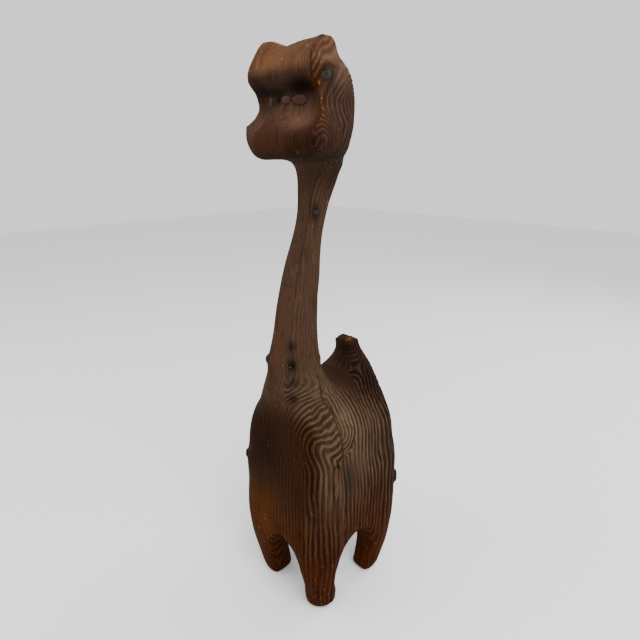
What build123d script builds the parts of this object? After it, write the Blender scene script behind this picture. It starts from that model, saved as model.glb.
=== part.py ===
from build123d import *

import os

# A floor-standing giraffe carved from one squared softwood log, about one metre tall.
#
# The carving faces -Y, its left side is +X, and it stands on the plane Z = 0.  The log is one piece of
# wood from the ears to the four soles.  The dead knots in it are separate plugs of branch wood: each one
# sits in its own tapered pocket, with its wide end at the surface of the carving.

# ---- driving dimensions, in millimetres --------------------------------------------------------
HEIGHT = 1000.0  # soles to ear tips
TORSO_WIDTH = 222.0  # widest, along X
TORSO_LENGTH = 254.0  # longest, along Y
CORNER_RADIUS = 48.0  # of the torso's upright corners

SOLE_ROUNDING = 4.0  # worn edges of the four soles

HEAD_WIDTH = 158.0
JAW_HEIGHT = 833.0  # underside of the jaw
EAR_X = 57.0  # ear tips, either side of the centre line
EAR_DIP = 13.0  # hollow of the crown between the ears

SOCKET_CENTRE = (52.0, -118.0, 908.0)  # left eye hollow, mirrored for the right one
SOCKET_RADIUS = 45.0  # across
SOCKET_HALF_HEIGHT = 42.0

KNOT_TAPER = 0.55  # inner end of a branch knot over its outer end
LEVEL = 12.0  # a plug this far beyond the surface is cut back level with it
STREAK_CENTRE = (108.5, -72.0, 298.0)
STREAK_RADIUS = 7.0
STREAK_HALF_HEIGHT = 34.0

# Torso sections: height, half width, half length, centre along Y, corner radius
TORSO_SECTIONS = [
    (0, 90, 96, 0, 33),
    (33, 97, 106, 0, 34),
    (70, 104, 114, 0, 38),
    (120, 109, 124, 0, 44),
    (205, TORSO_WIDTH / 2, TORSO_LENGTH / 2, 0, CORNER_RADIUS),
    (290, 109, 125, -1, 50),
    (350, 103, 119, -2, 50),
    (395, 93, 108, -3, 48),
    (417, 76, 91, -4, 46),
    (430, 55, 69, -3, 40),
    (436, 28, 40, 0, 26),
]

# Neck sections, from inside the chest to inside the head
NECK_SECTIONS = [
    (290, 80, 64, -46, 46),
    (360, 66, 58, -55, 38),
    (420, 63, 62, -58, 32),
    (475, 42, 47, -71, 22),
    (540, 30, 34, -68, 14),
    (600, 26, 30, -60, 12),
    (680, 21, 24, -45, 10),
    (740, 19, 21, -28, 9),
    (785, 23, 24, -17, 10),
    (815, 34, 27, -11, 14),
    (836, 43, 30, -13, 18),
    (850, 46, 28, -13, 18),
]

# Hump sections, behind the saddle, rising to a broken crest
HUMP_SECTIONS = [
    (290, 84, 50, 50, 40),
    (365, 80, 46, 58, 38),
    (415, 66, 41, 71, 32),
    (452, 46, 32, 75, 22),
    (480, 31, 25, 72, 14),
    (500, 20, 18, 66, 8),
    (511, 10, 9, 57, 4),
]

# Openings under the belly, as (across, height): across is X for the front arch and Y for the side arch.
# The front left leg was carved slimmer than the others, so neither arch is quite central.
FRONT_ARCH = [(-36, -5), (-36, 30), (-33, 65), (-28, 100), (-18, 132), (-2, 154), (16, 163)]
FRONT_ARCH_LEFT = [(46, -5), (48, 30), (53, 65), (55, 98), (51, 128), (40, 150), (16, 163)]
SIDE_ARCH = [(-46, -5), (-50, 30), (-58, 68), (-59, 98), (-51, 128), (-38, 149), (-14, 157)]
SIDE_ARCH_REAR = [(37, -5), (40, 30), (41, 65), (38, 95), (28, 128), (10, 149), (-14, 157)]

# Head outlines: one side of the front view (X, Z), then the face and the nape in the side view (Y, Z)
CHEEK_OUTLINE = [
    (EAR_X + 3, HEIGHT - 1),
    (EAR_X + 10, 988),
    (67, 972),
    (73, 956),
    (72, 938),
    (69, 920),
    (70, 904),
    (78, 888),
    (HEAD_WIDTH / 2 + 4, 872),
    (82, 855),
    (73, 841),
    (58, JAW_HEIGHT),
]
FACE_OUTLINE = [
    (-58, 1002),
    (-78, 985),
    (-95, 958),
    (-93, 914),
    (-112, 878),
    (-112, 852),
    (-98, JAW_HEIGHT - 1),
]
NAPE_OUTLINE = [
    (-44, 1002),
    (-36, 978),
    (-15, 948),
    (6, 905),
    (13, 875),
    (14, 850),
    (8, JAW_HEIGHT - 1),
]


def lofted(sections):
    """A solid through rounded rectangles at rising heights."""
    with BuildPart() as part:
        for height, half_width, half_length, centre_y, radius in sections:
            with BuildSketch(Plane.XY.offset(height)):
                with Locations((0, centre_y)):
                    RectangleRounded(2 * half_width, 2 * half_length, radius)
        loft()
    return part.part


def torso():
    """Egg-shaped torso with two crossing arches under the belly, which leave four legs."""
    with BuildPart() as part:
        add(lofted(TORSO_SECTIONS))
        for plane, one_side, other_side in (
            (Plane.XZ, FRONT_ARCH, FRONT_ARCH_LEFT),
            (Plane.YZ, SIDE_ARCH, SIDE_ARCH_REAR),
        ):
            with BuildSketch(plane):
                with BuildLine():
                    near = Spline(*one_side)
                    far = Spline(*other_side)
                    Line(near @ 0, far @ 0)
                make_face()
            extrude(amount=TORSO_LENGTH, both=True, mode=Mode.SUBTRACT)
        soles = part.faces().sort_by(Axis.Z)[:4]
        fillet(soles.edges(), SOLE_ROUNDING)
    return part.part


def head():
    """Head block: front outline, side outline and plan, with the two scooped eye hollows."""
    with BuildPart() as part:
        with BuildSketch(Plane.XZ):
            with BuildLine():
                crown = Spline((0, HEIGHT - EAR_DIP), (EAR_X - 24, HEIGHT - 7), (EAR_X, HEIGHT))
                cheek = Spline(*CHEEK_OUTLINE)
                Line(crown @ 1, cheek @ 0)
                Line(cheek @ 1, (0, JAW_HEIGHT))
                mirror(about=Plane.YZ)
            make_face()
        extrude(amount=200, both=True)
        with BuildSketch(Plane.YZ):
            with BuildLine():
                face = Spline(*FACE_OUTLINE)
                back = Spline(*NAPE_OUTLINE)
                Line(face @ 0, back @ 0)
                Line(face @ 1, back @ 1)
            make_face()
        extrude(amount=200, both=True, mode=Mode.INTERSECT)
        with BuildSketch(Plane.XY.offset(JAW_HEIGHT - 20)):
            with BuildLine():
                nose = Spline((0, -114), (44, -110), (HEAD_WIDTH / 2 + 6, -91))
                temple = (HEAD_WIDTH / 2 + 3, -45)
                side = Spline(nose @ 1, temple, (HEAD_WIDTH / 2 - 6, -8), (50, 10), (0, 20))
                mirror(about=Plane.YZ)
            make_face()
        extrude(amount=300, mode=Mode.INTERSECT)
        x, y, z = SOCKET_CENTRE
        for centre_x in (x, -x):
            with BuildSketch(Plane.XZ.offset(-y)):
                with Locations((centre_x, z)):
                    Ellipse(SOCKET_RADIUS, SOCKET_HALF_HEIGHT)
                with Locations((centre_x - SOCKET_RADIUS, z)):
                    Rectangle(2 * SOCKET_RADIUS, 3 * SOCKET_RADIUS, mode=Mode.SUBTRACT)
            revolve(axis=Axis((centre_x, y, z), (0, 0, 1)), mode=Mode.SUBTRACT)
    return part.part


def plug(centre, outward, radius, depth, beyond):
    """A tapered branch plug, `radius` wide where it ends `beyond` millimetres outside its centre point."""
    with BuildPart(Plane(origin=centre, z_dir=outward).offset(beyond)) as part:
        Cone(radius * KNOT_TAPER, radius, depth + beyond, align=(Align.CENTER, Align.CENTER, Align.MAX))
    return part.part


os.makedirs("parts", exist_ok=True)

with BuildPart() as whole_log:
    add(torso())
    add(lofted(NECK_SECTIONS))
    add(lofted(HUMP_SECTIONS))
    add(head())

# ---- knots that were carved level with the wood around them ------------------------------------
with BuildPart() as left_eye_knot:
    add(plug((30.8, -79.7, 914.1), (0.45, -0.89, 0.0), 12.0, 40.0, LEVEL))
    add(whole_log.part, mode=Mode.INTERSECT)

with BuildPart() as left_eye_inner_knot:
    add(plug((14.8, -90.2, 914.5), (0.70, -0.71, 0.0), 7.0, 22.0, LEVEL))
    add(whole_log.part, mode=Mode.INTERSECT)

with BuildPart() as right_eye_knot:
    add(plug((-30.8, -79.7, 914.1), (-0.45, -0.89, 0.0), 11.0, 36.0, LEVEL))
    add(whole_log.part, mode=Mode.INTERSECT)

with BuildPart() as temple_knot:
    add(plug((74.8, -68.0, 941.8), (0.97, -0.21, -0.11), 9.0, 42.0, LEVEL))
    add(whole_log.part, mode=Mode.INTERSECT)

# ---- knots that stand proud --------------------------------------------------------------------
with BuildPart() as neck_knot:
    add(plug((19.6, -36.0, 752.0), (0.99, 0.05, -0.05), 6.0, 16.0, 1.2))

with BuildPart() as chest_knot:
    add(plug((-30.4, -106.1, 503.0), (-0.70, -0.70, 0.0), 8.0, 30.0, 1.5))

with BuildPart() as shoulder_knot:
    add(plug((-95.0, -111.0, 285.0), (-0.70, -0.70, 0.0), 9.0, 40.0, 2.5))

with BuildPart() as rump_knot:
    add(plug((97.0, 113.0, 215.0), (0.70, 0.70, 0.0), 13.0, 50.0, 3.0))

# ---- a spindle of pitch and bark in the left flank -----------------------------------------------
with BuildPart() as flank_pitch_streak:
    with BuildSketch(Plane.XZ.offset(-STREAK_CENTRE[1])):
        with Locations((STREAK_CENTRE[0], STREAK_CENTRE[2])):
            Ellipse(STREAK_RADIUS, STREAK_HALF_HEIGHT)
        with Locations((STREAK_CENTRE[0] - STREAK_RADIUS, STREAK_CENTRE[2])):
            Rectangle(2 * STREAK_RADIUS, 3 * STREAK_HALF_HEIGHT, mode=Mode.SUBTRACT)
    revolve(axis=Axis(STREAK_CENTRE, (0, 0, 1)))
    add(whole_log.part, mode=Mode.INTERSECT)

INCLUSIONS = {
    "left_eye_knot": left_eye_knot,
    "left_eye_inner_knot": left_eye_inner_knot,
    "right_eye_knot": right_eye_knot,
    "temple_knot": temple_knot,
    "neck_knot": neck_knot,
    "chest_knot": chest_knot,
    "shoulder_knot": shoulder_knot,
    "rump_knot": rump_knot,
    "flank_pitch_streak": flank_pitch_streak,
}

with BuildPart() as carved_log:
    add(whole_log.part)
    for inclusion in INCLUSIONS.values():
        add(inclusion.part, mode=Mode.SUBTRACT)

carved_log.part.label = "carved_log"
export_step(carved_log.part, "parts/carved_log.step")
for node, inclusion in INCLUSIONS.items():
    inclusion.part.label = node
    export_step(inclusion.part, "parts/" + node + ".step")
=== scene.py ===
"""Visual model of the carved giraffe: one brushed, stained softwood log with raised growth rings.

All the CAD solids, the log and what fills its pockets, are joined and remeshed into one skin.
Its edges are worn round and its finer forms carved.  The growth rings are a field in space: the
distance from a wandering pith, with the figure of the left flank and of the left of the head and
neck drawn in.  The field is stored on the vertices; it raises the ridges and drives the
material.  Each knot is a stub of its own, laid on the finished skin.

Lengths in the tables and in the ring field are millimetres; the meshes themselves are in metres.
"""

import bmesh
import bpy
import numpy as np
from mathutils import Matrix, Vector
from mathutils.bvhtree import BVHTree


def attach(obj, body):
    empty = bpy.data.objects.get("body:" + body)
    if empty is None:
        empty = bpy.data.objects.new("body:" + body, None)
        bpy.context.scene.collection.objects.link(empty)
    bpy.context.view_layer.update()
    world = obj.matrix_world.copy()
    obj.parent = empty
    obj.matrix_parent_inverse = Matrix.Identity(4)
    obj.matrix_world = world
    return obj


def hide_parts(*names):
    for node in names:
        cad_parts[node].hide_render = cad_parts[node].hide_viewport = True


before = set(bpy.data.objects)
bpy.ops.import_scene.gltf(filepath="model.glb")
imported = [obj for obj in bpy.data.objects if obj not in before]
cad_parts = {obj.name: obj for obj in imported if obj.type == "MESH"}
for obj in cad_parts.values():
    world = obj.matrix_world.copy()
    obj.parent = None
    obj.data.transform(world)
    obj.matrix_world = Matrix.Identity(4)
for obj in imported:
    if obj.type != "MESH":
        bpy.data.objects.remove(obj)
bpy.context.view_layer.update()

# ---- camera ------------------------------------------------------------------------------------
CAMERA_PLACE = Vector((0.5800, -0.5867, 0.8350))
CAMERA_HEADING = Vector((-0.70711, 0.70711, -0.3375))
LENS_MM = 27.0
SENSOR_MM = 36.0

camera_data = bpy.data.cameras.new("camera")
camera_data.lens = LENS_MM
camera_data.sensor_width = SENSOR_MM
camera_data.clip_start = 0.01  # metres
camera = bpy.data.objects.new("camera", camera_data)
bpy.context.scene.collection.objects.link(camera)
camera.location = CAMERA_PLACE
camera.rotation_euler = CAMERA_HEADING.to_track_quat("-Z", "Y").to_euler()
bpy.context.scene.camera = camera

# ---- sizes -------------------------------------------------------------------------------------
MM = 1000.0  # millimetres in a metre
TOP_MM = 1000.0  # height of the statue
VOXEL = 0.0022  # metres; mesh size of the log
RIDGE_MM = 1.3  # height of the raised growth rings, valley to crest
# wear of the remeshed skin: strength and rounds of smoothing, all over, at the legs, at the joins
SOFTEN, SOFTEN_ROUNDS = 0.5, 6
LEG_WEAR, LEG_ROUNDS = 0.8, 75
JOIN_WEAR, JOIN_ROUNDS = 0.9, 260
KNOT_SIDES = 48
# rings of vertices from a knot's middle to its rim, as shares of its radius; the last is sunk
KNOT_REACH = (0.02, 0.1, 0.2, 0.32, 0.44, 0.56, 0.68, 0.8, 0.9, 0.97, 1.03, 1.05)
KNOT_PROBE = 14.0  # how far out the rays that find the skin start
KNOT_ROOT = -5.0  # how deep the last ring is sunk
KNOT_EDGE_LIFT = 0.25  # how far the rim stands off the skin before it turns in
KNOT_RIM_START, KNOT_RIM_STEP, KNOT_RIM_DROP = 0.86, 0.2, 1.6  # where and how fast it turns in
KNOT_LOBES = 0.13  # how far from round
KNOT_ROUGH = 0.4  # height of the worn lumps
KNOT_CRACK_DEPTH = 0.8
KNOT_RING_SPACING = 1.6

# ---- colours -----------------------------------------------------------------------------------
# linear mean colours of the stained wood; some also serve as painted shade, painted light and
# painted sheen
NECK_BROWN = (0.042, 0.0225, 0.0140)
FLANK_TAN = (0.052, 0.0310, 0.0185)
FLANK_LOW = (0.036, 0.0165, 0.0082)
# the chest: its red-brown stain, and painted shade of the side turned from the light
CHEST_STAIN_AND_SHADE = (0.0210, 0.0072, 0.0024)
LEG_ORANGE = (0.0300, 0.0068, 0.0006)
HEAD_BROWN = (0.030, 0.0150, 0.0100)
CROWN_GOLD = (0.100, 0.046, 0.0210)
MUZZLE_RED = (0.032, 0.0118, 0.0056)
# painted light: the lit lower half of each eye bowl, brightened further against the bowl's own shade
HOLLOW_PAINTED_LIGHT = (0.078, 0.038, 0.0250)
# char and soot serve both for real char and soot and for painted shade: under the brows, in the nose
# crease, under the head and the left eye bowl, on the right of the chest, between the legs and in
# the flank's fold
CHAR_AND_SHADE = (0.0045, 0.0026, 0.0022)
SOOT_AND_SHADE = (0.0130, 0.0058, 0.0032)
RUST = (0.062, 0.0190, 0.0030)
QUIET_GREY = (0.017, 0.0102, 0.0064)
TEMPLE_GREY = (0.074, 0.043, 0.028)
# painted sheen: the satin glint on the flank, laid into the colour
PAINTED_SHEEN = (0.088, 0.058, 0.0350)
CLEAN = (0.24, 0.105, 0.032)

# how the ridges, valleys, stained and cleaner streaks differ from the mean colour
RIDGE_GAIN = (1.75, 1.82, 1.90)
RIDGE_DUST = (0.16, 0.115, 0.075)
DUST_SHARE = 0.05
VALLEY_GAIN = (0.30, 0.25, 0.20)
DARK_GAIN = (0.38, 0.30, 0.24)
LIGHT_GAIN = (1.55, 1.55, 1.50)

# each knot's heart, bark rim and drying cracks
RED_KNOT = ((0.062, 0.0230, 0.0120), (0.011, 0.0050, 0.0030), (0.004, 0.002, 0.0015))
DARK_KNOT = ((0.022, 0.016, 0.0135), (0.0050, 0.0038, 0.0034), (0.003, 0.002, 0.002))
KNOT_LINE_GAIN = (0.35, 0.30, 0.28)  # dark lines between a knot's rings
PITCH_DARK = (0.018, 0.010, 0.0065)
PITCH_PALE = (0.060, 0.034, 0.021)
PITCH_RUST = (0.030, 0.011, 0.004)

# reflection is kept low, because the brushed wood is matt and nearly black in places
LOG_SPECULAR = 0.012
KNOT_SPECULAR = 0.12
# fine relief of each material: strength, and depth in metres
LOG_BUMP = (0.9, 0.0018)
KNOT_BUMP = (0.8, 0.0008)
PITCH_BUMP = (0.8, 0.0012)

# where the stain has worn off the edges: centre and size in millimetres, strength
WORN_PLACES = (
    ((-60.0, -85.0, 985.0), (45.0, 40.0, 24.0), 0.9),
    ((20.0, -85.0, 970.0), (60.0, 40.0, 22.0), 0.6),
    ((60.0, -80.0, 940.0), (18.0, 18.0, 40.0), 0.9),
    ((-6.0, -108.0, 580.0), (14.0, 16.0, 60.0), 0.6),
    ((84.0, -90.0, 60.0), (26.0, 20.0, 50.0), 0.6),
    ((-70.0, -118.0, 120.0), (40.0, 20.0, 60.0), 0.5),
    ((50.0, -80.0, 990.0), (30.0, 24.0, 14.0), 0.6),
)
# darker and lighter places, real stains and painted shade and sheen: centre and size in millimetres,
# strength, colour
PLACE_GAIN = 1.25  # spreads the full strength over the middle of each place
STAIN_SHADE_AND_SHEEN_PLACES = (
    # painted sheen on the left flank
    ((92.0, -30.0, 400.0), (34.0, 24.0, 46.0), 0.6, PAINTED_SHEEN),
    ((103.0, 20.0, 350.0), (30.0, 30.0, 50.0), 0.15, PAINTED_SHEEN),
    ((20.0, 50.0, 492.0), (46.0, 44.0, 44.0), 0.72, SOOT_AND_SHADE),
    ((30.0, 24.0, 462.0), (40.0, 30.0, 36.0), 0.45, SOOT_AND_SHADE),
    ((66.0, 74.0, 456.0), (44.0, 50.0, 66.0), 1.0, SOOT_AND_SHADE),
    ((92.0, 90.0, 310.0), (40.0, 50.0, 110.0), 0.58, SOOT_AND_SHADE),
    ((28.0, -5.0, 812.0), (34.0, 34.0, 30.0), 0.5, SOOT_AND_SHADE),
    ((76.0, -60.0, 878.0), (14.0, 30.0, 30.0), 0.25, SOOT_AND_SHADE),
    ((18.0, 60.0, 509.0), (8.0, 8.0, 3.0), 0.5, CLEAN),
    ((106.0, -42.0, 285.0), (30.0, 20.0, 46.0), 0.7, QUIET_GREY),
    ((106.0, -70.0, 314.0), (20.0, 4.5, 14.0), 0.9, RUST),
    ((106.0, -66.0, 345.0), (20.0, 6.0, 6.0), 0.4, RUST),
    # painted shade on the right side of the chest, turned from the light
    ((-30.0, -128.0, 330.0), (60.0, 40.0, 80.0), 0.5, CHAR_AND_SHADE),
    ((-40.0, -127.0, 190.0), (70.0, 40.0, 70.0), 0.45, RUST),
    ((26.0, -100.0, 540.0), (7.0, 9.0, 9.0), 0.8, CHAR_AND_SHADE),
    ((30.0, -103.0, 508.0), (8.0, 10.0, 12.0), 0.9, CHAR_AND_SHADE),
    ((33.0, -104.0, 478.0), (8.0, 10.0, 9.0), 0.6, CHAR_AND_SHADE),
    ((36.0, -106.0, 450.0), (9.0, 11.0, 9.0), 0.7, CHAR_AND_SHADE),
    ((-4.0, -106.0, 560.0), (9.0, 16.0, 60.0), 0.5, RUST),
    # painted shade under the overhanging brows and in the crease over the bridge of the nose
    ((50.0, -90.0, 931.0), (26.0, 24.0, 10.0), 0.7, SOOT_AND_SHADE),
    ((40.0, -74.0, 930.0), (44.0, 26.0, 12.0), 0.72, CHAR_AND_SHADE),
    ((-44.0, -90.0, 929.0), (34.0, 30.0, 12.0), 0.75, CHAR_AND_SHADE),
    ((-8.0, -97.0, 923.0), (24.0, 14.0, 6.0), 0.95, CHAR_AND_SHADE),
    ((4.0, -92.0, 914.0), (8.0, 14.0, 7.0), 0.85, CHAR_AND_SHADE),
    ((-10.0, -92.0, 908.0), (10.0, 14.0, 12.0), 0.6, SOOT_AND_SHADE),
    ((74.0, -78.0, 900.0), (16.0, 14.0, 34.0), 0.35, RUST),
    ((72.0, -82.0, 938.0), (10.0, 14.0, 16.0), 0.7, RUST),
    ((72.0, -34.0, 956.0), (24.0, 30.0, 26.0), 0.8, TEMPLE_GREY),
    # painted shadow on the underside of the head
    ((0.0, -70.0, 836.0), (90.0, 60.0, 8.0), 0.7, CHAR_AND_SHADE),
    # painted shade below the lower edge of the left eye bowl
    ((62.0, -98.0, 852.0), (34.0, 22.0, 22.0), 0.75, SOOT_AND_SHADE),
    # painted shade under the belly, in the arch between the legs
    ((0.0, 0.0, 130.0), (50.0, 50.0, 40.0), 0.8, CHAR_AND_SHADE),
    ((21.0, -36.0, 752.0), (9.0, 9.0, 13.0), 0.8, CHAR_AND_SHADE),
    ((75.0, -68.0, 941.8), (10.0, 15.0, 8.0), 0.9, CHAR_AND_SHADE),
    ((74.0, -62.0, 954.0), (10.0, 24.0, 5.0), 0.5, SOOT_AND_SHADE),
    ((-30.4, -106.1, 503.0), (11.0, 11.0, 11.0), 0.8, CHAR_AND_SHADE),
    ((-95.0, -111.0, 285.0), (14.0, 14.0, 14.0), 0.8, CHAR_AND_SHADE),
    ((97.0, 113.0, 215.0), (17.0, 17.0, 17.0), 0.8, CHAR_AND_SHADE),
)

# carved forms: millimetres outward, centre, size
EVERYWHERE = float("inf")
CARVED = (
    (-4.0, (-12.0, -97.0, 923.0), (26.0, 14.0, 5.0)),  # crease over the bridge of the nose
    (3.0, (0.0, -98.0, 942.0), (70.0, 16.0, 12.0)),  # brow
    (-4.0, (44.0, -78.0, 928.0), (28.0, 20.0, 8.0)),  # under the left brow
    (3.0, (70.0, -84.0, 858.0), (18.0, 22.0, 16.0)),  # cheek lump
    (-3.0, (64.0, -44.0, 842.0), (20.0, 12.0, 9.0)),  # under the jaw
    (-9.0, (74.0, 8.0, 850.0), (26.0, 22.0, 24.0)),  # lower back corner of the head
    (3.5, (0.0, 0.0, 400.0), (EVERYWHERE, EVERYWHERE, 60.0)),  # fullness of the body
    (3.5, (38.0, -32.0, 480.0), (20.0, 20.0, 45.0)),  # where neck and hump part
    (4.0, (38.0, 10.0, 824.0), (16.0, 16.0, 12.0)),  # nape
    (-2.5, (30.0, -104.0, 508.0), (10.0, 10.0, 13.0)),  # three hollows down the neck's base
    (-2.0, (26.0, -100.0, 540.0), (9.0, 9.0, 12.0)),
    (-2.0, (36.0, -106.0, 450.0), (11.0, 11.0, 12.0)),
)

# knots: CAD node, centre, direction outward, radius, how proud, height over width, colours
KNOTS = (
    ("left_eye_knot", (31.2, -79.0, 913.6), (0.45, -0.89, 0.0), 13.4, 1.8, 0.66, "red"),
    ("left_eye_inner_knot", (16.6, -91.6, 913.8), (0.70, -0.71, 0.0), 8.0, 1.4, 0.80, "red"),
    ("right_eye_knot", (-30.8, -79.0, 914.1), (-0.45, -0.89, 0.0), 12.6, 1.6, 0.66, "red"),
    ("temple_knot", (74.8, -68.0, 941.8), (0.97, -0.21, -0.11), 12.0, 0.2, 0.50, "dark"),
    ("neck_knot", (19.6, -36.0, 752.0), (0.99, 0.05, -0.05), 6.6, 0.8, 0.75, "dark"),
    ("chest_knot", (-30.4, -106.1, 503.0), (-0.70, -0.70, 0.0), 8.6, 1.0, 0.8, "dark"),
    ("shoulder_knot", (-95.0, -111.0, 285.0), (-0.70, -0.70, 0.0), 10.0, 1.6, 0.9, "dark"),
    ("rump_knot", (97.0, 113.0, 215.0), (0.70, 0.70, 0.0), 14.0, 1.8, 0.95, "dark"),
)

# studio: name, place, aim and side in metres, power in watts
LAMPS = (
    ("key", (1.6, -0.6, 2.4), (0, 0, 0.5), 1.4, 75.0),
    ("fill", (-1.4, -2.0, 1.6), (0, 0, 0.5), 1.8, 30.0),
    ("rim", (0.6, 2.2, 1.8), (0, 0, 0.6), 1.2, 30.0),
)
FLOOR_REACH = 6.0  # metres from the middle to each side
FLOOR_GREY = 0.86
FLOOR_ROUGHNESS = 0.9
SKY_STRENGTH = 1.15


# ---- small numeric helpers ---------------------------------------------------------------------
HASH_X, HASH_Y, HASH_Z, HASH_SEED = 374761393, 668265263, 2147483647, 1274126177
HASH_STIR, HASH_MASK = 1103515245, 0xFFFFFF


def ramp(x, low, high):
    """0 below low, 1 above high, smooth between."""
    t = np.clip((x - low) / (high - low), 0.0, 1.0)
    return t * t * (3.0 - 2.0 * t)


def bump(x, centre, width):
    """1 at the centre, falling to 0 on both sides."""
    return np.exp(-(((x - centre) / width) ** 2))


def blend(a, b, weight):
    """a where the weight is 0, b where it is 1."""
    return a + (b - a) * weight


def lattice(ix, iy, iz, seed):
    """Repeatable pseudo-random numbers from 0 to 1 on an integer lattice."""
    n = ix * HASH_X + iy * HASH_Y + iz * HASH_Z + seed * HASH_SEED
    n = (n ^ (n >> 13)) * HASH_STIR
    n = (n ^ (n >> 16)) & HASH_MASK
    return n / float(HASH_MASK)


def noise(points, scale, seed=0):
    """Smooth value noise from -1 to 1; scale is the size of one cell in millimetres, per axis."""
    q = points / np.asarray(scale, float)
    base = np.floor(q).astype(np.int64)
    f = q - base
    f = f * f * (3.0 - 2.0 * f)
    total = np.zeros(len(points))
    for dx in (0, 1):
        wx = f[:, 0] if dx else 1.0 - f[:, 0]
        for dy in (0, 1):
            wy = f[:, 1] if dy else 1.0 - f[:, 1]
            for dz in (0, 1):
                wz = f[:, 2] if dz else 1.0 - f[:, 2]
                corner = lattice(base[:, 0] + dx, base[:, 1] + dy, base[:, 2] + dz, seed)
                total += wx * wy * wz * corner
    return 2.0 * total - 1.0


def coords(mesh):
    """Vertex places in metres, one row each."""
    co = np.empty(len(mesh.vertices) * 3)
    mesh.vertices.foreach_get("co", co)
    return co.reshape(-1, 3)


def normals(mesh):
    """Vertex normals, one row each."""
    n = np.empty(len(mesh.vertices) * 3)
    mesh.vertices.foreach_get("normal", n)
    return n.reshape(-1, 3)


def set_coords(mesh, co):
    """Move the vertices to places in metres."""
    mesh.vertices.foreach_set("co", co.reshape(-1))
    mesh.update()


def attribute(mesh, name, values):
    """Store one number per vertex, for the materials to read."""
    layer = mesh.attributes.new(name, "FLOAT", "POINT")
    layer.data.foreach_set("value", np.asarray(values, np.float32))


def relax(mesh, co, weight, rounds):
    """Laplacian smoothing of vertex places; weight is per vertex, from 0 to 1."""
    edges = np.empty(len(mesh.edges) * 2, np.int64)
    mesh.edges.foreach_get("vertices", edges)
    a, b = edges[0::2], edges[1::2]
    count = np.bincount(a, minlength=len(co)) + np.bincount(b, minlength=len(co))
    count = np.maximum(count, 1)[:, None]
    for _ in range(rounds):
        total = np.empty_like(co)
        for axis in range(3):
            total[:, axis] = np.bincount(a, co[b, axis], len(co))
            total[:, axis] += np.bincount(b, co[a, axis], len(co))
        step = total / count - co
        co = co + step * weight[:, None]
    return co


# ---- the wood ----------------------------------------------------------------------------------
PITH = (-96.0, -52.0)  # the heart of the tree runs near the right rear of the log
PITH_WANDER = 9.0  # how far it strays to either side
PITH_CELL = (300.0, 300.0, 520.0)  # and over what length
RING_SPACING = 4.6

# heights between which one part of the figure gives way to the next
LEG_TOP = (110.0, 270.0)
CHEST_TOP = (385.0, 455.0)
TORSO_TOP = (455.0, 510.0)
NECK_FOOT = (440.0, 510.0)
NECK_TOP = (800.0, 850.0)
HEAD_FOOT = (825.0, 850.0)

# the left flank; each spacing is the distance between two lines
CREST_Y = -56.0  # a fold in the grain, above the pitch streak
FOLD_WANDER = 4.0
FOLD_RING = 44.2  # ring number along that fold
FLANK_X = 109.0  # how far out the skin is at the fold
FLANK_AXIS_X = -4.0  # angles round the log are taken about this line
FLANK_RADIUS = 115.0  # turns such an angle into a length along the skin
FRONT_SPACING = 7.0
REAR_SPACING = 9.6
UPPER_SPACING = 10.4
HUMP_X, HUMP_SPACING = 50.0, 13.0
FRONT_START = 6.0  # least gap between the fold and the first front line
FRONT_GAP, FRONT_GAP_OPENS = 14.0, (325.0, 385.0)  # the gap widens by this much, going up
FRONT_CLOSE, FRONT_GAP_CLOSES = 13.0, (385.0, 440.0)  # and then closes again by this much
UPPER_FOOT = (390.0, 440.0)
HUMP_FOOT = (425.0, 445.0)
BAND_FOOT, BAND_SPACING = 338.0, 12.0
BAND_CORNER = 4.0  # how sharply a level band turns down
LOOP_TOP, LOOP_TOP_SPACING = 434.0, 7.5
LOOP_FOOT, LOOP_FOOT_SPACING = 388.0, 9.0
LOOP_SPACING = 8.0
LOOP_LAG = 1.2  # how many lines the middle of the loops is behind the fold
LOOP_FADE = (4.2, 5.4)  # the loops between which the straight grain takes over
FLAME_Y, FLAME_HALF_WIDTH = -71.0, 10.0  # dark outline round the pitch streak
FLAME_SHOULDER, FLAME_RISE = 316.0, 17.0
FLAME_LINE = 0.2  # its thickness, as a share of its size

# the left of the head and of the neck
HEAD_LEAN_Y = -84.0
HEAD_ARCH = 62.0  # how broadly the head's lines bend round
HEAD_SPACING = 5.0
HEAD_RING = 34.0
CHEEK_Y, CHEEK_HALF_WIDTH = -84.0, 30.0
CHEEK_Z, CHEEK_HALF_HEIGHT = 850.0, 36.0
CHEEK_RINGS = 6.0  # loops round the cheek
NECK_EDGE_Y = -50.0
NECK_SPACING = 7.0
NECK_RING = 34.6


def blob(p, centre, size):
    """A soft ellipsoid: 1 at its centre, falling to 0 outside; centre and size in millimetres."""
    q = (p - np.array(centre)) / np.array(size)
    return np.exp(-np.sum(q * q, axis=1))


def fold_at(p):
    """Where the fold in the left flank runs, in millimetres front to back, at each point."""
    return CREST_Y + FOLD_WANDER * noise(p, (60.0, 60.0, 26.0), 25)


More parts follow.
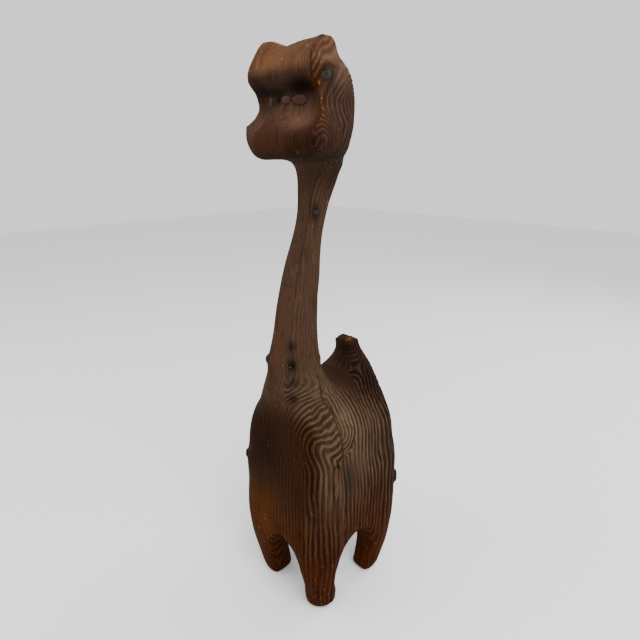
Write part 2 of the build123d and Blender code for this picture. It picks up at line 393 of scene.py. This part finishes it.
def ring_field(p, n):
    """Growth-ring number at points given in millimetres, with their surface normals."""
    x, y, z = p[:, 0], p[:, 1], p[:, 2]
    heart_x = PITH[0] + PITH_WANDER * noise(p, PITH_CELL, 3)
    heart_y = PITH[1] + PITH_WANDER * noise(p, PITH_CELL, 5)
    rings = np.hypot(x - heart_x, y - heart_y) / RING_SPACING

    # straight grain down the front, the left flank and the legs, close in front and wider behind
    past_fold = np.arctan2(y, x - FLANK_AXIS_X) - np.arctan2(CREST_Y, FLANK_X)
    past_fold = FLANK_RADIUS * past_fold
    across_hump = ramp(z, *HUMP_FOOT) * ramp(-n[:, 1], 0.1, 0.6) * (x - HUMP_X) / HUMP_SPACING
    upper = (y - CREST_Y) / UPPER_SPACING - across_hump
    start = -past_fold - FRONT_START
    start = start - FRONT_GAP * ramp(z, *FRONT_GAP_OPENS)
    start = start + FRONT_CLOSE * ramp(z, *FRONT_GAP_CLOSES)
    before_fold = np.maximum(start, 0.0) / FRONT_SPACING
    behind_fold = blend(past_fold / REAR_SPACING, upper, ramp(z, *UPPER_FOOT))
    wander = 0.7 * noise(p, (42.0, 42.0, 120.0), 8)
    straight = FOLD_RING + behind_fold + wander

    # before the fold each line turns down from a short level band; behind it are nested loops
    bands = (z - BAND_FOOT) / BAND_SPACING + 0.25 * noise(p, (22.0, 22.0, 22.0), 13)
    bands = np.maximum(bands, 0.0)
    turned = (bands**BAND_CORNER + before_fold**BAND_CORNER) ** (1.0 / BAND_CORNER)
    arches = FOLD_RING - turned + wander
    above = np.maximum(z - LOOP_TOP, 0.0) / LOOP_TOP_SPACING
    below = np.maximum(LOOP_FOOT - z, 0.0) / LOOP_FOOT_SPACING
    loop = np.hypot((y - CREST_Y - 1.0) / LOOP_SPACING, above + below)
    looped = FOLD_RING - LOOP_LAG + loop + 0.15 * noise(p, (20.0, 20.0, 30.0), 14)
    behind = blend(looped, straight, ramp(loop, *LOOP_FADE))
    ahead = 1.0 - ramp(y - fold_at(p), -1.0, 1.5)
    left = blend(behind, arches, ahead)
    around = 1.0 - ramp(y, 96.0, 122.0) * (1.0 - ramp(x, 30.0, 80.0))
    around = ramp(x, -70.0, -30.0) * around
    facing = np.maximum(ramp(n[:, 0], 0.1, 0.4), ahead)
    around = around * np.maximum(1.0 - ramp(z, 285.0, 350.0), facing)
    body = 1.0 - ramp(z, 450.0 - 30.0 * ahead, 505.0 - 30.0 * ahead)
    rings = blend(rings, left, around * body)
    hump = ramp(y, -34.0, -12.0) * ramp(z, 436.0, 452.0) * (1.0 - ramp(z, 520.0, 540.0))
    seen = ramp(np.maximum(n[:, 0], -n[:, 1]), -0.2, 0.2)
    rings = blend(rings, straight, hump * seen)

    # left of the head: long lines that rise from the neck and lean back, and loops round the cheek
    on_head = ramp(z, *NECK_TOP) * ramp(n[:, 0], 0.25, 0.6) * ramp(x, 52.0, 62.0)
    lean = HEAD_LEAN_Y + 0.85 * np.maximum(z - 915.0, 0.0) - 0.25 * np.maximum(880.0 - z, 0.0)
    head = HEAD_RING + np.hypot(HEAD_ARCH, y - lean) / HEAD_SPACING
    cheek_y, cheek_z = (y - CHEEK_Y) / CHEEK_HALF_WIDTH, (z - CHEEK_Z) / CHEEK_HALF_HEIGHT
    cheek = np.sqrt(cheek_y**2 + cheek_z**2)
    head = head - CHEEK_RINGS * (1.0 - ramp(cheek, 0.0, 1.6))
    head = head + 0.5 * noise(p, (30.0, 26.0, 34.0), 11)
    rings = blend(rings, head, on_head)

    # left of the neck: close, nearly straight lines that follow its edges
    on_neck = ramp(z, *NECK_FOOT) * (1.0 - ramp(z, *NECK_TOP)) * ramp(n[:, 0], 0.3, 0.6)
    neck_line = NECK_EDGE_Y + 0.20 * np.maximum(z - 560.0, 0.0)
    neck = NECK_RING + (y - neck_line) / NECK_SPACING + 0.5 * noise(p, (40.0, 40.0, 110.0), 12)
    rings = blend(rings, neck, on_neck)
    uneven = 0.18 * noise(p, (22.0, 22.0, 60.0), 7)
    return rings + uneven + 0.10 * noise(p, (9.0, 9.0, 26.0), 9)


def paint(tone, colour, weight):
    """Blend linear colours towards one colour, by a weight from 0 to 1 at each vertex."""
    weight = np.clip(weight, 0.0, 1.0)[:, None]
    return blend(tone, np.array(colour), weight)


def surface_facts(p, n):
    """Per-vertex strength of the ring relief, wear, and the mean colour of the stained wood with its
    painted shade, light and sheen.
    """
    x, y, z = p[:, 0], p[:, 1], p[:, 2]
    left = ramp(n[:, 0], 0.2, 0.55)
    right = ramp(-n[:, 0], 0.3, 0.7)
    back = ramp(n[:, 1], 0.4, 0.8)
    front = ramp(-n[:, 1], 0.4, 0.8)
    torso = 1.0 - ramp(z, *TORSO_TOP)
    head = ramp(z, *HEAD_FOOT)
    neck = (1.0 - torso) * (1.0 - head)
    low = 1.0 - ramp(z, *LEG_TOP)

    relief = 0.25 * torso + 0.24 * neck + 0.2 * head
    relief = relief + torso * (0.75 * left + 0.6 * right + 0.6 * back)
    outer = ramp(np.abs(x), 58.0, 66.0)
    on_head = 0.36 * left * outer + 0.4 * right * outer + 0.4 * back
    relief = relief + head * on_head + neck * 0.12 * (left + right)
    relief = relief + 0.35 * front * low
    # smooth wood beside the pitch streak and in the bowl of the left eye
    relief = relief - 0.9 * torso * blob(p, (106.0, -34.0, 284.0), (30.0, 20.0, 46.0))
    relief = relief * (1.0 - 0.8 * head * blob(p, (34.0, -80.0, 884.0), (34.0, 30.0, 26.0)))
    relief = relief * (1.0 - 0.35 * low)
    relief = relief * (0.78 + 0.40 * noise(p, (46.0, 46.0, 90.0), 21))
    relief = np.clip(relief, 0.05, 1.0)

    worn = 0.35 * low + 0.2 * noise(p, (40.0, 40.0, 60.0), 22)
    for centre, size, strength in WORN_PLACES:
        worn = worn + strength * blob(p, centre, size)
    worn = np.clip(worn, 0.0, 1.0)

    tone = np.tile(np.array(NECK_BROWN), (len(p), 1))
    flank = ramp(n[:, 0], 0.45, 0.85)
    # the chest: red-brown stain and painted shade
    tone = paint(tone, CHEST_STAIN_AND_SHADE, torso * (1.0 - ramp(z, *CHEST_TOP)))
    tone = paint(tone, FLANK_TAN, torso * np.maximum(flank, np.maximum(back, right)) * 0.95)
    tone = paint(tone, CHEST_STAIN_AND_SHADE, torso * front * (1.0 - ramp(z, *CHEST_TOP)))
    tone = paint(tone, HEAD_BROWN, head)
    tone = paint(tone, CROWN_GOLD, ramp(z, 944.0, 962.0) * (1.0 - 0.45 * ramp(x, -30.0, 60.0)))
    tone = paint(tone, MUZZLE_RED, head * front * (1.0 - ramp(z, 862.0, 892.0)))
    # painted light in the lower half of each eye bowl
    tone = paint(tone, HOLLOW_PAINTED_LIGHT, head * blob(p, (34.0, -80.0, 884.0), (34.0, 30.0, 24.0)))
    tone = paint(tone, HOLLOW_PAINTED_LIGHT, head * blob(p, (-50.0, -80.0, 884.0), (34.0, 30.0, 24.0)))
    tone = paint(tone, FLANK_LOW, torso * (left + back) * (1.0 - ramp(z, 215.0, 330.0)))
    tone = paint(tone, LEG_ORANGE, low)
    # stains, painted shade and painted sheen, place by place
    for centre, size, strength, colour in STAIN_SHADE_AND_SHEEN_PLACES:
        tone = paint(tone, colour, strength * PLACE_GAIN * blob(p, centre, size))
    # painted shade in the fold of the flank, and the dark outline that arches over the pitch streak
    fold = bump(y - fold_at(p), 0.0, 2.4) * ramp(x, 30.0, 50.0)
    tone = paint(tone, CHAR_AND_SHADE, 0.25 * fold * ramp(z, 330.0, 352.0) * (1.0 - ramp(z, 450.0, 475.0)))
    rise = np.maximum(z - FLAME_SHOULDER, 0.0) / FLAME_RISE
    flame = np.hypot((y - FLAME_Y) / FLAME_HALF_WIDTH, rise)
    tone = paint(tone, CHAR_AND_SHADE, 0.8 * left * bump(flame, 1.0, FLAME_LINE) * ramp(z, 225.0, 265.0))
    return relief, worn, tone


def sculpt(p):
    """Carved forms finer than the CAD solid: moves in mm along the normal and straight up."""
    y, z = p[:, 1], p[:, 2]
    out = np.zeros(len(p))
    for rise, centre, size in CARVED:
        out += rise * blob(p, centre, size)
    # shallow tool facets everywhere
    out += 1.3 * noise(p, (34.0, 34.0, 60.0), 31) + 0.6 * noise(p, (16.0, 16.0, 34.0), 32)
    # the right horn higher than the left, and the broken crest of the hump
    crest = ramp(z, 488.0, 508.0) * ramp(y, 0.0, 30.0)
    up = 5.0 * blob(p, (-57.0, -62.0, 1000.0), (26.0, 26.0, 26.0))
    up -= 5.0 * blob(p, (57.0, -56.0, 1000.0), (26.0, 26.0, 26.0))
    notch = 2.0 * blob(p, (0.0, 52.0, 508.0), (40.0, 4.0, 12.0))
    up += crest * (2.4 * noise(p, (5.0, 5.0, 200.0), 33) - notch)
    return out, up


def solid_wood():
    """The log: a fine remesh of the CAD, with worn edges, ring relief and material attributes."""
    build = bmesh.new()
    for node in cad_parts.values():
        build.from_mesh(node.data)
    data = bpy.data.meshes.new("giraffe_log")
    build.to_mesh(data)
    build.free()
    obj = bpy.data.objects.new("giraffe_log", data)
    bpy.context.scene.collection.objects.link(obj)
    remesh = obj.modifiers.new("remesh", "REMESH")
    remesh.mode = "VOXEL"
    remesh.voxel_size = VOXEL
    remesh.adaptivity = 0.0
    bpy.context.view_layer.update()
    evaluated = obj.evaluated_get(bpy.context.evaluated_depsgraph_get())
    mesh = bpy.data.meshes.new_from_object(evaluated)
    obj.modifiers.clear()
    obj.data = mesh
    mesh.name = "giraffe_log"

    # wear: the legs and the joins of neck, hump and torso most, the head least
    co = coords(mesh)
    x, y, z = (co * MM).T
    legs = 1.0 - ramp(z, 110.0, 190.0)
    joins = ramp(z, 320.0, 380.0) * (1.0 - ramp(z, 484.0, 502.0))
    jaw = bump(z, 838.0, 24.0) * np.maximum(ramp(y, -60.0, -20.0), ramp(-x, 30.0, 60.0))
    brow = bump(z, 945.0, 16.0) * ramp(-y, 60.0, 90.0)
    co = relax(mesh, co, np.full(len(co), SOFTEN), SOFTEN_ROUNDS)
    co = relax(mesh, co, LEG_WEAR * np.maximum(legs, 0.4 * brow), LEG_ROUNDS)
    co = relax(mesh, co, JOIN_WEAR * np.maximum(joins, 0.5 * jaw), JOIN_ROUNDS)
    co[:, 2] = np.maximum(co[:, 2], 0.0)
    set_coords(mesh, co)

    p = coords(mesh) * MM
    n = normals(mesh)
    out, up = sculpt(p)
    off_sole = ramp(p[:, 2], 1.0, 14.0)
    p = p + n * (out * off_sole)[:, None]
    p[:, 2] += up
    set_coords(mesh, p / MM)

    p = coords(mesh) * MM
    n = normals(mesh)
    ring = ring_field(p, n)
    relief, worn, tone = surface_facts(p, n)
    phase = ring - np.floor(ring)
    ridge = 0.5 + 0.5 * np.cos(2.0 * np.pi * phase)
    height = RIDGE_MM * (ridge - 0.5) * ramp(relief, 0.3, 0.9) * ramp(p[:, 2], 3.0, 14.0)
    p = p + n * height[:, None]
    p[:, 2] = np.clip(p[:, 2], 0.0, TOP_MM)
    set_coords(mesh, p / MM)
    for name, values in (("ring", ring), ("relief", relief), ("worn", worn)):
        attribute(mesh, name, values)
    layer = mesh.color_attributes.new("tone", "FLOAT_COLOR", "POINT")
    opaque = np.column_stack([tone, np.ones(len(tone))]).astype(np.float32)
    layer.data.foreach_set("color", opaque.reshape(-1))
    for polygon in mesh.polygons:
        polygon.use_smooth = True
    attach(obj, "root")
    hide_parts("carved_log")
    return obj


# ---- materials ---------------------------------------------------------------------------------
MIX_COLOUR_A, MIX_COLOUR_B, MIX_COLOUR_RESULT = 6, 7, 2  # sockets of the mix node


def new_material(name):
    """A node material with one Principled shader; both are returned."""
    material = bpy.data.materials.new(name)
    material.use_nodes = True
    nodes = material.node_tree.nodes
    nodes.clear()
    output = nodes.new("ShaderNodeOutputMaterial")
    shader = nodes.new("ShaderNodeBsdfPrincipled")
    material.node_tree.links.new(shader.outputs["BSDF"], output.inputs["Surface"])
    return material, shader


class Graph:
    """Short names for the nodes that the materials use."""

    def __init__(self, material):
        self.nodes = material.node_tree.nodes
        self.links = material.node_tree.links

    def put(self, socket, value):
        """Link a socket to another, or set its constant; a colour has three numbers."""
        if isinstance(value, bpy.types.NodeSocket):
            self.links.new(value, socket)
        elif isinstance(value, tuple):
            socket.default_value = (*value, 1.0)
        else:
            socket.default_value = value

    def math(self, operation, a, b=0.0):
        node = self.nodes.new("ShaderNodeMath")
        node.operation = operation
        self.put(node.inputs[0], a)
        self.put(node.inputs[1], b)
        return node.outputs[0]

    def attribute(self, name):
        node = self.nodes.new("ShaderNodeAttribute")
        node.attribute_name = name
        return node.outputs["Fac"]

    def colour_attribute(self, name):
        node = self.nodes.new("ShaderNodeVertexColor")
        node.layer_name = name
        return node.outputs["Color"]

    def noise(self, scale, detail=3.0, stretch=(1.0, 1.0, 1.0), roughness=0.55):
        """Noise in the object's own space; scale is about how many features there are in a metre."""
        place = self.nodes.new("ShaderNodeTexCoord")
        mapping = self.nodes.new("ShaderNodeMapping")
        mapping.inputs["Scale"].default_value = stretch
        self.links.new(place.outputs["Object"], mapping.inputs["Vector"])
        node = self.nodes.new("ShaderNodeTexNoise")
        node.inputs["Scale"].default_value = scale
        node.inputs["Detail"].default_value = detail
        node.inputs["Roughness"].default_value = roughness
        self.links.new(mapping.outputs["Vector"], node.inputs["Vector"])
        return node.outputs["Fac"]

    def ramp(self, value, stops):
        """A grey for each value, straight between stops of position and grey."""
        node = self.nodes.new("ShaderNodeValToRGB")
        node.color_ramp.interpolation = "LINEAR"
        elements = node.color_ramp.elements
        while len(elements) < len(stops):
            elements.new(0.5)
        for element, (position, grey) in zip(elements, stops):
            element.position = position
            element.color = (grey, grey, grey, 1.0)
        self.put(node.inputs["Fac"], value)
        return node.outputs["Color"]

    def fit(self, value, low, high, new_low=0.0, new_high=1.0):
        """A smooth step from new_low, where the value is low, to new_high, where it is high."""
        node = self.nodes.new("ShaderNodeMapRange")
        node.interpolation_type = "SMOOTHSTEP"
        self.put(node.inputs["Value"], value)
        node.inputs["From Min"].default_value = low
        node.inputs["From Max"].default_value = high
        node.inputs["To Min"].default_value = new_low
        node.inputs["To Max"].default_value = new_high
        return node.outputs["Result"]

    def mix(self, factor, a, b, mode="MIX"):
        """Two colours mixed; mode is Blender's name for the way of mixing."""
        node = self.nodes.new("ShaderNodeMix")
        node.data_type = "RGBA"
        node.blend_type = mode
        self.put(node.inputs["Factor"], factor)
        self.put(node.inputs[MIX_COLOUR_A], a)
        self.put(node.inputs[MIX_COLOUR_B], b)
        return node.outputs[MIX_COLOUR_RESULT]

    def bump(self, height, strength, distance):
        node = self.nodes.new("ShaderNodeBump")
        node.inputs["Strength"].default_value = strength
        node.inputs["Distance"].default_value = distance
        self.put(node.inputs["Height"], height)
        return node.outputs["Normal"]


# noises of the wood: scale, detail, stretch along each axis, roughness
BROKEN_NOISE = (30.0, 3.0, (1.0, 1.0, 0.5))
FINE_WOBBLE = (90.0, 4.0, (1.0, 1.0, 0.22))
WIDE_WOBBLE = (24.0, 2.0, (1.0, 1.0, 0.35))
FIBRE_NOISE = (1100.0, 2.0, (1.0, 1.0, 0.05), 0.6)
STREAK_NOISE = (240.0, 3.0, (1.0, 1.0, 0.04), 0.6)
BLOTCH_NOISE = (16.0, 5.0, (1.0, 1.0, 0.6), 0.6)
PATCH_NOISE = (48.0, 4.0, (1.0, 1.0, 0.45), 0.6)
CHIP_NOISE = (150.0, 5.0, (1.0, 1.0, 0.55), 0.7)
SCRATCH_NOISE = (80.0, 3.0, (0.35, 0.35, 2.4), 0.55)
CREASE_NOISE = (300.0, 4.0, (1.0, 1.0, 0.08), 0.65)

# how strongly each one shows: the noise at which it starts and is full, then least and most
BROKEN = (0.34, 0.60, 0.45, 1.0)
BLOTCHES = (0.50, 0.72, 0.0, 0.55)
PATCHES = (0.56, 0.76, 0.0, 0.55)
STREAKS = (0.50, 0.72, 0.0, 0.60)
FIBRES = (0.52, 0.78, 0.0, 0.40)
CHIPS = (0.665, 0.73, 0.0, 0.70)
SCRATCHES = (0.72, 0.78, 0.0, 0.5)
WORN_CHIPS = 0.075  # how much more easily worn places chip

# how far the wobbles shift the rings, in rings, and how high each noise stands in the fine relief
FINE_SHIFT, WIDE_SHIFT = 0.85, 0.7
STREAK_RISE, FIBRE_RISE, PATCH_RISE = 0.22, 0.16, 0.30

# brightness across one growth ring
RING_PROFILE = (
    (0.0, 0.80),
    (0.08, 1.0),
    (0.20, 0.72),
    (0.36, 0.14),
    (0.56, 0.0),
    (0.78, 0.16),
    (1.0, 0.80),
)
KNOT_PROFILE = ((0.0, 1.0), (0.35, 0.3), (1.0, 0.9))


def log_material():
    """Stained, brushed wood: ridges, streaks, chips and scratches over the stored tone."""
    material, shader = new_material("brushed_log")
    g = Graph(material)
    broken = g.fit(g.noise(*BROKEN_NOISE), *BROKEN)
    relief = g.math("MULTIPLY", g.attribute("relief"), broken)
    worn = g.attribute("worn")
    tone = g.colour_attribute("tone")
    ring = g.attribute("ring")
    for wobble, rings in ((FINE_WOBBLE, FINE_SHIFT), (WIDE_WOBBLE, WIDE_SHIFT)):
        shift = g.math("MULTIPLY", g.math("SUBTRACT", g.noise(*wobble), 0.5), rings)
        ring = g.math("ADD", ring, shift)
    phase = g.math("FRACT", ring)
    profile = g.ramp(phase, RING_PROFILE)
    fibre = g.noise(*FIBRE_NOISE)
    streak = g.noise(*STREAK_NOISE)
    blotch = g.noise(*BLOTCH_NOISE)
    patch = g.noise(*PATCH_NOISE)

    # ridges take less stain than the soft wood between them
    ridge = g.mix(DUST_SHARE, g.mix(1.0, tone, RIDGE_GAIN, "MULTIPLY"), RIDGE_DUST)
    valley = g.mix(1.0, tone, VALLEY_GAIN, "MULTIPLY")
    lined = g.mix(profile, valley, ridge)
    colour = g.mix(g.fit(relief, 0.0, 0.9, 0.10, 1.0), tone, lined)
    dark = g.mix(1.0, tone, DARK_GAIN, "MULTIPLY")
    light = g.mix(1.0, tone, LIGHT_GAIN, "MULTIPLY")
    colour = g.mix(g.fit(blotch, *BLOTCHES), colour, dark)
    colour = g.mix(g.fit(patch, *PATCHES), colour, light)
    colour = g.mix(g.fit(streak, *STREAKS), colour, dark)
    colour = g.mix(g.fit(fibre, *FIBRES), colour, light)
    # small chips where the stain has worn off to clean wood
    chip = g.noise(*CHIP_NOISE)
    chip = g.math("ADD", chip, g.math("MULTIPLY", worn, WORN_CHIPS))
    colour = g.mix(g.fit(chip, *CHIPS), colour, CLEAN)
    scratch = g.noise(*SCRATCH_NOISE)
    pale = g.mix(0.5, light, RIDGE_DUST)
    colour = g.mix(g.fit(scratch, *SCRATCHES), colour, pale)
    g.put(shader.inputs["Base Color"], colour)
    sheen = g.math("ADD", profile, fibre)
    g.put(shader.inputs["Roughness"], g.fit(sheen, 0.3, 1.5, 0.78, 0.52))
    shader.inputs["Specular IOR Level"].default_value = LOG_SPECULAR

    height = g.math("MULTIPLY", profile, relief)
    for grain, rise in ((streak, STREAK_RISE), (fibre, FIBRE_RISE), (patch, PATCH_RISE)):
        height = g.math("ADD", height, g.math("MULTIPLY", grain, rise))
    g.put(shader.inputs["Normal"], g.bump(height, *LOG_BUMP))
    return material


def knot_material(name, heart, rim, crack):
    """End grain of a dead branch: close rings, a dark bark edge and drying cracks."""
    material, shader = new_material(name)
    g = Graph(material)
    edge = g.attribute("edge")
    check = g.attribute("check")
    grain = g.noise(420.0, 4.0)
    phase = g.math("FRACT", g.math("ADD", g.attribute("ring"), g.math("MULTIPLY", grain, 0.5)))
    line = g.ramp(phase, KNOT_PROFILE)
    colour = g.mix(line, g.mix(1.0, heart, KNOT_LINE_GAIN, "MULTIPLY"), heart)
    colour = g.mix(g.fit(grain, 0.45, 0.70, 0.0, 0.5), colour, rim)
    colour = g.mix(g.fit(edge, 0.68, 0.90), colour, rim)
    colour = g.mix(g.fit(check, 0.45, 0.75), colour, crack)
    g.put(shader.inputs["Base Color"], colour)
    g.put(shader.inputs["Roughness"], g.fit(grain, 0.3, 0.7, 0.45, 0.68))
    shader.inputs["Specular IOR Level"].default_value = KNOT_SPECULAR
    height = g.math("ADD", g.math("MULTIPLY", line, 0.5), g.math("MULTIPLY", grain, 0.6))
    height = g.math("SUBTRACT", height, g.math("MULTIPLY", check, 1.2))
    g.put(shader.inputs["Normal"], g.bump(height, *KNOT_BUMP))
    return material


def branch_knot(skin, name, centre, outward, radius, proud, squash, material):
    """A worn branch stub on the log's skin, with a sunk rim round it and drying cracks."""
    seed = 1 + len(name) % 7
    outward = Vector(outward).normalized()
    across = outward.cross(Vector((0.0, 0.0, 1.0))).normalized()
    upward = across.cross(outward).normalized()
    turns = np.linspace(0.0, 2.0 * np.pi, KNOT_SIDES, endpoint=False)
    level = np.full(KNOT_SIDES, 0.5)
    wave = np.column_stack([np.cos(turns) * 1.4 + seed, np.sin(turns) * 1.4, level])
    lobes = 1.0 + KNOT_LOBES * noise(wave, (1.0, 1.0, 1.0), seed)
    verts, rings, edges, checks = [], [], [], []
    for part in KNOT_REACH:
        for turn, lobe in zip(turns, lobes):
            r = radius * part * lobe
            here = np.array([[r * np.cos(turn), r * np.sin(turn), 7.0 * seed]])
            rough = KNOT_ROUGH * noise(here, (2.2, 2.2, 1.0), seed)[0] * min(1.0, 3.0 * part)
            crack = max(0.0, 1.0 - abs(np.sin(1.5 * (turn - 0.7 * seed))) / 0.2)
            check = max(crack * min(1.0, part * 3.0) * (1.0 - 0.6 * part), 1.0 - part / 0.14)
            place = Vector(centre) + across * (r * np.cos(turn))
            place = place + upward * (r * squash * np.sin(turn))
            start = (place + outward * KNOT_PROBE) / MM
            hit = skin.ray_cast(start, -outward)[0]
            ground = hit * MM if hit is not None else place
            lift = proud * (1.0 - part**2.5) + KNOT_EDGE_LIFT + rough
            lift = lift - KNOT_CRACK_DEPTH * max(0.0, check)
            lift = lift - KNOT_RIM_DROP * max(0.0, part - KNOT_RIM_START) / KNOT_RIM_STEP
            if part == KNOT_REACH[-1]:
                lift = KNOT_ROOT
            verts.append((ground + outward * lift) / MM)
            rings.append(radius * part / KNOT_RING_SPACING)
            edges.append(part)
            checks.append(check)
    faces = []
    for k in range(len(KNOT_REACH) - 1):
        for i in range(KNOT_SIDES):
            j = (i + 1) % KNOT_SIDES
            a, b = k * KNOT_SIDES, (k + 1) * KNOT_SIDES
            faces.append((a + i, b + i, b + j, a + j))
    last = (len(KNOT_REACH) - 1) * KNOT_SIDES
    faces.append(tuple(last + i for i in reversed(range(KNOT_SIDES))))
    mesh = bpy.data.meshes.new(name + "_stub")
    mesh.from_pydata(verts, [], faces)
    mesh.update()
    for label, values in (("ring", rings), ("edge", edges), ("check", checks)):
        attribute(mesh, label, values)
    for polygon in mesh.polygons:
        polygon.use_smooth = True
    mesh.materials.append(material)
    obj = bpy.data.objects.new(name + "_stub", mesh)
    bpy.context.scene.collection.objects.link(obj)
    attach(obj, "root")
    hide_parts(name)


def pitch_material():
    """Hardened pitch and bark in a split: dark, dull and finely creased along the grain."""
    material, shader = new_material("pitch_streak")
    g = Graph(material)
    crease = g.noise(*CREASE_NOISE)
    blotch = g.noise(90.0, 3.0)
    colour = g.mix(g.fit(crease, 0.40, 0.68), PITCH_DARK, PITCH_PALE)
    colour = g.mix(g.fit(blotch, 0.5, 0.7, 0.0, 0.5), colour, PITCH_RUST)
    g.put(shader.inputs["Base Color"], colour)
    g.put(shader.inputs["Roughness"], g.fit(blotch, 0.3, 0.7, 0.45, 0.7))
    shader.inputs["Specular IOR Level"].default_value = KNOT_SPECULAR
    g.put(shader.inputs["Normal"], g.bump(crease, *PITCH_BUMP))
    return material


# ---- put the pieces together -------------------------------------------------------------------
log = solid_wood()
log.data.materials.clear()
log.data.materials.append(log_material())
skin = BVHTree.FromObject(log, bpy.context.evaluated_depsgraph_get())

knot_materials = {
    "red": knot_material("red_knot", *RED_KNOT),
    "dark": knot_material("dark_knot", *DARK_KNOT),
}
for *shape, colours in KNOTS:
    branch_knot(skin, *shape, knot_materials[colours])

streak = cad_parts["flank_pitch_streak"]
streak.data.materials.clear()
streak.data.materials.append(pitch_material())


# ---- floor, light and background ---------------------------------------------------------------
def studio():
    """A plain pale floor, an even white sky and three soft lamps."""
    mesh = bpy.data.meshes.new("floor")
    build = bmesh.new()
    bmesh.ops.create_grid(build, x_segments=1, y_segments=1, size=FLOOR_REACH)
    build.to_mesh(mesh)
    build.free()
    floor = bpy.data.objects.new("floor", mesh)
    bpy.context.scene.collection.objects.link(floor)
    material, shader = new_material("pale_floor")
    shader.inputs["Base Color"].default_value = (FLOOR_GREY, FLOOR_GREY, FLOOR_GREY, 1.0)
    shader.inputs["Roughness"].default_value = FLOOR_ROUGHNESS
    mesh.materials.append(material)

    world = bpy.data.worlds.new("studio")
    bpy.context.scene.world = world
    world.use_nodes = True
    background = world.node_tree.nodes["Background"]
    background.inputs["Color"].default_value = (1.0, 1.0, 1.0, 1.0)
    background.inputs["Strength"].default_value = SKY_STRENGTH

    for name, place, aim, size, power in LAMPS:
        data = bpy.data.lights.new(name, "AREA")
        data.shape = "SQUARE"
        data.size = size
        data.energy = power
        light = bpy.data.objects.new(name, data)
        bpy.context.scene.collection.objects.link(light)
        light.location = place
        towards = Vector(aim) - Vector(place)
        light.rotation_euler = towards.to_track_quat("-Z", "Y").to_euler()


studio()
